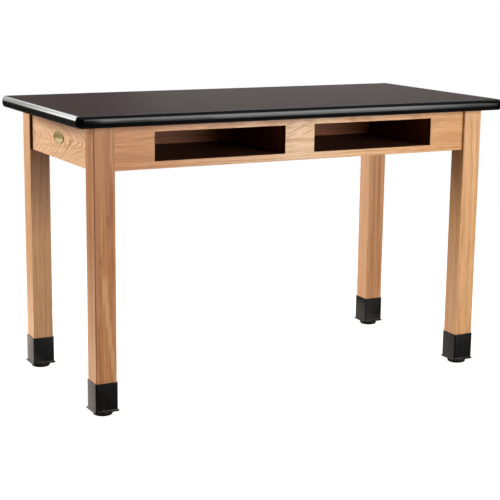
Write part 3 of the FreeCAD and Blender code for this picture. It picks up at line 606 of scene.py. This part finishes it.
bolts = []
waist_low = BOLT_IN_LEG - BOLT_WAIST
wood_thread = thread_rows(BOLT_RADIUS, WOOD_PITCH, WOOD_DEPTH, WOOD_START, waist_low, WOOD_STEPS)
for solid in loose_solids("hanger_bolts"):
    middle = solid.mean(axis=0)
    inwards = towards_middle(middle)
    along = (solid - middle) @ inwards
    length = along.max() - along.min()
    machine_thread = thread_rows(BOLT_RADIUS, MACHINE_PITCH, MACHINE_DEPTH, BOLT_IN_LEG + MACHINE_RUN_OUT,
                                 length - BOLT_END)
    rows = [(0, 0), WOOD_POINT, *wood_thread, (BOLT_RADIUS, waist_low), (BOLT_RADIUS, BOLT_IN_LEG),
            *machine_thread, (BOLT_RADIUS - BOLT_END, length), (0, length)]
    bolts.append(placed(turned(rows)[:, ::2], middle + inwards * along.min(), inwards))
add_piece("hanger_bolt_set", bolts, "table_frame", "hanger_bolts")

nuts = []
nut_half, nut_bore = NUT_THICKNESS / 2, BOLT_RADIUS + NUT_PLAY
nut_rows = [(nut_bore, -nut_half), *hexagon_rows(NUT_ACROSS, -nut_half, nut_half),
            (BOLT_RADIUS + NUT_BEVEL, nut_half), (nut_bore, nut_half - NUT_BEVEL), (nut_bore, -nut_half)]
for solid in loose_solids("bolt_nuts"):
    middle = solid.mean(axis=0)
    nuts.append(placed(turned(nut_rows), middle, towards_middle(middle)))
add_piece("hexagon_nut_set", nuts, "table_frame", "bolt_nuts")

# Wood screws with a cross recess: pan heads on the brackets, sunk heads elsewhere
SHANK, HEAD, HEAD_HEIGHT, SCREW_POINT = 2.1, 4.2, 2.6, 4
RECESS_DEPTH, RECESS_CORE, RECESS_REACH, RECESS_STEPS = 1.5, 0.5, 2.7, 5
PAN_HEAD = [(HEAD - 0.9, 0), (HEAD - 0.25, 0.45), (HEAD, 1.1), (HEAD, HEAD_HEIGHT)]
SUNK_HEAD = [(HEAD, 0)]


def screw_sheet(length, head):
    """A wood screw from the floor of its recess over the head and down to the point.

    The recess is deepest in the middle and rises evenly to its reach, along four arms that narrow outwards
    as the fourth power of the cosine of twice the angle."""
    rows = [(0, RECESS_DEPTH)]
    for radius in np.linspace(RECESS_CORE, RECESS_REACH, RECESS_STEPS):
        arms = np.maximum(np.cos(2 * ANGLES) ** 4, 1 - radius)
        rows.append((radius, RECESS_DEPTH * (1 - radius / RECESS_REACH) * arms))
    rows += [*head, (SHANK, HEAD_HEIGHT), (SHANK, length - SCREW_POINT), (0, length)]
    return turned(rows)[:, ::2]


for node in ("top_screws", "cleat_screws", "compartment_screws", "bracket_screws"):
    head = PAN_HEAD if node == "bracket_screws" else SUNK_HEAD
    screws = []
    for solid in loose_solids(node):
        low, high = solid.min(axis=0), solid.max(axis=0)
        start, line = (low + high) / 2, np.argmax(high - low)
        away = np.linalg.norm(np.delete(solid - start, line, axis=1), axis=1)
        way = 1.0 if solid[away.argmax(), line] < start[line] else -1.0
        start[line] = low[line] if way > 0 else high[line]
        screws.append(placed(screw_sheet((high - low)[line], head), start, way * np.eye(3)[line]))
    add_piece("recessed_" + node, screws, "table_frame", node)

# Oval plate: a rounded rim and a fine inner line round a plain field, as insets, heights and shares of the size
BADGE_COLUMNS, BADGE_CREASE = 72, 50.0
BADGE_ROWS = [(0, 0, 0), (0, 0, 1), (0, 1.3, 1), (0.25, 1.75, 1), (0.8, 2.0, 1), (1.5, 2.0, 1), (2.1, 1.75, 1),
              (2.6, 1.2, 1), (4.4, 1.2, 1), (4.75, 1.45, 1), (5.25, 1.45, 1), (5.6, 1.2, 1), (5.6, 1.2, 0)]


def oval_sheet(half_width, half_height, back, rows):
    """Ovals that face the table's left end: each row is an inset, a height and a share of the size."""
    angles = np.linspace(0, 2 * math.pi, BADGE_COLUMNS, endpoint=False)
    inset, height, share = np.array(rows, float).T[:, :, None]
    return np.stack([back[0] - height + 0 * angles, back[1] - share * (half_width - inset) * np.cos(angles),
                     back[2] + share * (half_height - inset) * np.sin(angles)], axis=-1)


badge_low, badge_high = (np.array(corner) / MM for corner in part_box("badge_plate"))
badge_half = (badge_high - badge_low) / 2
badge_back = (badge_high[0], *(badge_low + badge_half)[1:])
add_piece("oval_plate", [oval_sheet(badge_half[1], badge_half[2], badge_back, BADGE_ROWS)],
          "table_frame", "badge_plate", crease=BADGE_CREASE)


# The room, in metres: a pale floor that fades into a white surround, lamps, cards and the camera
FLOOR_RADIUS, FLOOR_RINGS, FLOOR_TURNS = 12.0, 24, 96
FLOOR_FADE = (1.2, 3.0)
FLOOR_GLOW, FLOOR_SHINE = 0.88, 0.25
FLOOR_SPECKLE, FLOOR_TONES, FLOOR_REFLECTED_TONE = 40.0, ((0.3, "a89e94"), (0.7, "aea49a")), "4c4845"
WORLD_LIGHT, WORLD_TONE = 0.18, "ffe6d2"


def floor_disc():
    """A flat disc: circles of growing radius round the origin."""
    radii = np.linspace(0, 1, FLOOR_RINGS)[:, None] ** 2 * FLOOR_RADIUS
    angles = np.linspace(0, 2 * math.pi, FLOOR_TURNS, endpoint=False)[None, :]
    points = np.stack([radii * np.cos(angles), radii * np.sin(angles), 0 * radii * angles], axis=-1)
    index = np.arange(FLOOR_RINGS * FLOOR_TURNS).reshape(FLOOR_RINGS, FLOOR_TURNS)
    ahead = np.roll(index, -1, axis=1)
    faces = np.stack([index[:-1], index[1:], ahead[1:], ahead[:-1]], axis=-1).reshape(-1, 4)
    mesh = bpy.data.meshes.new("floor")
    mesh.from_pydata(points.reshape(-1, 3).tolist(), [], faces.tolist())
    floor = bpy.data.objects.new("floor", mesh)
    bpy.context.scene.collection.objects.link(floor)
    return floor


def seen_rays(tree):
    """One for camera rays; and one where a ray is a reflection or a look through glass."""
    path = add_node(tree, "LightPath")
    rays = path.node.outputs
    indirect = add_node(tree, "Math", {0: rays["Is Glossy Ray"], 1: rays["Is Transmission Ray"]},
                        operation="ADD", use_clamp=True)
    return rays["Is Camera Ray"], indirect


def floor_finish():
    """A pale painted floor that looks white: it glows to the eye, and in reflections only near the table."""
    material, tree = new_tree("pale studio floor")
    direct, indirect = seen_rays(tree)
    place = add_node(tree, "TexCoord", output="Object")
    away = add_node(tree, "VectorMath", {0: place}, operation="LENGTH")
    far = add_node(tree, "MapRange", {"Value": away, 1: FLOOR_FADE[0], 2: FLOOR_FADE[1]},
                   interpolation_type="SMOOTHSTEP")
    near = add_node(tree, "Math", {0: 1.0, 1: far}, operation="SUBTRACT")
    speckle = add_node(tree, "TexNoise", {"Vector": place, "Scale": FLOOR_SPECKLE})
    colour = add_node(tree, "ValToRGB", {0: speckle}, FLOOR_TONES)
    colour = add_node(tree, "Mix", {"Factor": indirect, "A": colour, "B": linear(FLOOR_REFLECTED_TONE)},
                      data_type="RGBA")
    shown = add_node(tree, "Math", {0: indirect, 1: near}, operation="MULTIPLY")
    shown = add_node(tree, "Math", {0: shown, 1: FLOOR_SHINE, 2: direct}, operation="MULTIPLY_ADD")
    strength = add_node(tree, "Math", {0: shown, 1: FLOOR_GLOW}, operation="MULTIPLY")
    lit = add_node(tree, "AddShader", {
        0: add_node(tree, "BsdfDiffuse", {"Color": colour}),
        1: add_node(tree, "Emission", {"Strength": strength})})
    white = add_node(tree, "Emission", {"Strength": 1.0})
    mix = add_node(tree, "Math", {0: direct, 1: far}, operation="MULTIPLY")
    add_node(tree, "OutputMaterial", {"Surface": add_node(tree, "MixShader", {0: mix, 1: lit, 2: white})})
    return material


def white_surround():
    """A world that is white to the eye and in reflections, and lights the table a little, in a warm tone."""
    world = bpy.data.worlds.new("white surround")
    world.use_nodes = True
    tree = world.node_tree
    tree.nodes.clear()
    seen = add_node(tree, "Math", dict(enumerate(seen_rays(tree))), operation="ADD", use_clamp=True)
    strength = add_node(tree, "MapRange", {"Value": seen, 3: WORLD_LIGHT, 4: 1.0})
    tone = add_node(tree, "Mix", {"Factor": seen, "A": linear(WORLD_TONE), "B": linear("ffffff")},
                    data_type="RGBA")
    shine = add_node(tree, "Background", {"Color": tone, "Strength": strength})
    add_node(tree, "OutputWorld", {"Surface": shine})
    return world


floor = floor_disc()
floor.data.materials.append(floor_finish())
bpy.context.scene.world = white_surround()


def add_lamp(name, place, target, width, height, power, diffuse=True, glossy=True, colour=(1, 1, 1)):
    """A soft rectangular lamp at a place, facing a target; it may light surfaces, be reflected, or both."""
    light = bpy.data.lights.new(name, "AREA")
    light.shape = "RECTANGLE"
    light.size = width
    light.size_y = height
    light.energy = power
    light.color = colour
    lamp = bpy.data.objects.new(name, light)
    lamp.location = place
    lamp.rotation_euler = (Vector(target) - Vector(place)).to_track_quat("-Z", "Y").to_euler()
    lamp.visible_camera = False
    lamp.visible_diffuse = diffuse
    lamp.visible_glossy = glossy
    bpy.context.scene.collection.objects.link(lamp)


# Lamps that light the table and aren't reflected, each by its place, width, height and power
AIM = (0.0, 0.0, 0.55)
LIGHTING = {
    "left_lamp": ((-4.6, 3.0, 1.75), 2.8, 2.3, 290),
    "front_lamp": ((1.45, -3.6, 1.5), 2.3, 1.6, 102),
    "right_lamp": ((4.6, 2.2, 1.75), 2.8, 2.3, 130),
    "top_lamp": ((0.0, -0.4, 3.4), 3.0, 2.0, 12),
}
for name, (place, width, height, power) in LIGHTING.items():
    add_lamp(name, place, AIM, width, height, power, glossy=False)

# Upright lamps that are only reflected, each by its place along Y, its left and right, its low and high side
# and its glow. The front ones stand side by side, and give the band's front a grey line that varies along it
REFLECTED = {
    "left_end_crown": (2.7, (-0.6, 0.3), (1.5, 2.1), 1.8),
    "top_right": (3.0, (0.9, 3.4), (0.9, 1.7), 3.0),
    "front_1": (-3.6, (0.7, 0.8), (0.46, 2.3), 29.0),
    "front_2": (-3.6, (0.8, 1.0), (0.46, 2.3), 22.5),
    "front_3": (-3.6, (1.0, 1.35), (0.4, 2.2), 26.0),
    "front_4": (-3.6, (1.35, 2.6), (0.31, 2.1), 29.5),
    "front_5": (-3.6, (2.6, 2.75), (0.31, 2.1), 25.0),
    "front_6": (-3.6, (2.75, 2.95), (0.33, 2.1), 18.5),
    "front_7": (-3.6, (2.95, 3.2), (0.36, 2.1), 10.0),
}
for name, (across, sides, ends, glow) in REFLECTED.items():
    middle = (sum(sides) / 2, across, sum(ends) / 2)
    width, height = sides[1] - sides[0], ends[1] - ends[0]
    power = glow * math.pi * width * height
    add_lamp(name, middle, (middle[0], 0.0, middle[2]), width, height, power, diffuse=False)

# Warm lamps that lie on the floor and are only reflected, in the boots, each by its place, sides and power
WARM, POOL_HEIGHT = (1.0, 0.86, 0.76), 0.01
POOLS = {
    "left_pool": ((-0.9, 0.1), 0.7, 0.8, 3.4),
    "back_left_pool": ((-0.9, 0.85), 0.7, 0.7, 3.9),
    "right_pool": ((0.25, 0.15), 0.8, 0.9, 4.2),
}
for name, (place, width, depth, power) in POOLS.items():
    add_lamp(name, (*place, POOL_HEIGHT), (*place, 1.0), width, depth, power, diffuse=False, colour=WARM)


def add_card(name, sides, finish):
    """Upright cards that only reflections see, each from one place on the floor plan to another."""
    corners = [(*place, height) for start, end, low, high in sides
               for place, height in ((start, low), (end, low), (end, high), (start, high))]
    mesh = bpy.data.meshes.new(name)
    mesh.from_pydata(corners, [], np.arange(len(corners)).reshape(-1, 4).tolist())
    mesh.materials.append(finish)
    card = bpy.data.objects.new(name, mesh)
    bpy.context.scene.collection.objects.link(card)
    card.visible_camera = card.visible_diffuse = card.visible_shadow = False


# A glowing card that gives the left end's shoulder its white strip, brighter to the front. Its glow goes from
# one strength to another between two distances from its middle, which count more along X and less upwards
GLOWING_CARD = [((-2.6, 2.7), (-0.6, 2.7), 0.72, 2.1)]
CARD_MIDDLE, CARD_STRETCH = (-1.171, 2.7, 0.85), (1.836, 1.0, 0.88)
CARD_GLOW = ((0.62, 3.6), (1.05, 13.5))
# Along X only what lies to the left of the middle counts; the other two limits are larger than the card
CARD_LIMIT = (0.0, 9.0, 9.0)


def card_finish():
    """A plain white card that glows, more with distance from its middle."""
    material, tree = new_tree("glowing card")
    place = add_node(tree, "TexCoord", output="Object")
    away = add_node(tree, "VectorMath", {0: place, 1: CARD_MIDDLE}, operation="SUBTRACT")
    away = add_node(tree, "VectorMath", {0: away, 1: CARD_LIMIT}, operation="MINIMUM")
    away = add_node(tree, "VectorMath", {0: away, 1: CARD_STRETCH}, operation="MULTIPLY")
    away = add_node(tree, "VectorMath", {0: away}, operation="LENGTH")
    (near, dim), (far, bright) = CARD_GLOW
    strength = add_node(tree, "MapRange", {"Value": away, 1: near, 2: far, 3: dim, 4: bright})
    add_node(tree, "OutputMaterial", {"Surface": add_node(tree, "Emission", {"Strength": strength})})
    return material


def black_finish():
    """A card as black as can be."""
    material, tree = new_tree("black card")
    add_node(tree, "OutputMaterial", {"Surface": add_node(tree, "Emission", {"Strength": 0.0})})
    return material


# Black cards beyond the front corners and the left end, which keep the white surround out of the band's rounded
# corners and end the front highlight at its left
BLACK_LOW, BLACK_HIGH = 0.02, 3.2
BLACK_PLAN = (((-3.2, -2.4), (-3.2, 2.9)), ((3.35, -3.7), (6.5, -3.0)),
              ((-3.2, -3.9), (0.62, -3.9)), ((-3.2, -3.9), (-3.2, -2.4)))
BLACK_CARDS = [(start, end, BLACK_LOW, BLACK_HIGH) for start, end in BLACK_PLAN]
add_card("card", GLOWING_CARD, card_finish())
add_card("flag", BLACK_CARDS, black_finish())

# The camera: where it stands, its turn about the upright, its dip, its roll and its focal length
CAMERA_PLACE = Vector((-1.80067, -3.39038, 1.14074))
CAMERA_YAW, CAMERA_PITCH, CAMERA_ROLL = -0.4864, -0.2054, 0.0121
FOCAL_PIXELS, IMAGE_PIXELS, SENSOR_MM = 1347.7, 500, 36.0


def photo_camera():
    """A camera that looks forward by its turn and dip, with its sides rolled about that direction."""
    data = bpy.data.cameras.new("camera")
    data.sensor_width = SENSOR_MM
    data.lens = FOCAL_PIXELS * SENSOR_MM / IMAGE_PIXELS
    camera = bpy.data.objects.new("camera", data)
    forward = Vector((-math.sin(CAMERA_YAW) * math.cos(CAMERA_PITCH),
                      math.cos(CAMERA_YAW) * math.cos(CAMERA_PITCH), math.sin(CAMERA_PITCH)))
    level = Vector((math.cos(CAMERA_YAW), math.sin(CAMERA_YAW), 0))
    upright = level.cross(forward)
    sideways = level * math.cos(CAMERA_ROLL) + upright * math.sin(CAMERA_ROLL)
    upwards = upright * math.cos(CAMERA_ROLL) - level * math.sin(CAMERA_ROLL)
    axes = Matrix((sideways, upwards, -forward)).transposed().to_4x4()
    camera.matrix_world = Matrix.Translation(CAMERA_PLACE) @ axes
    return camera


camera = photo_camera()
bpy.context.scene.collection.objects.link(camera)
bpy.context.scene.camera = camera
bpy.context.scene.view_settings.view_transform = "Standard"
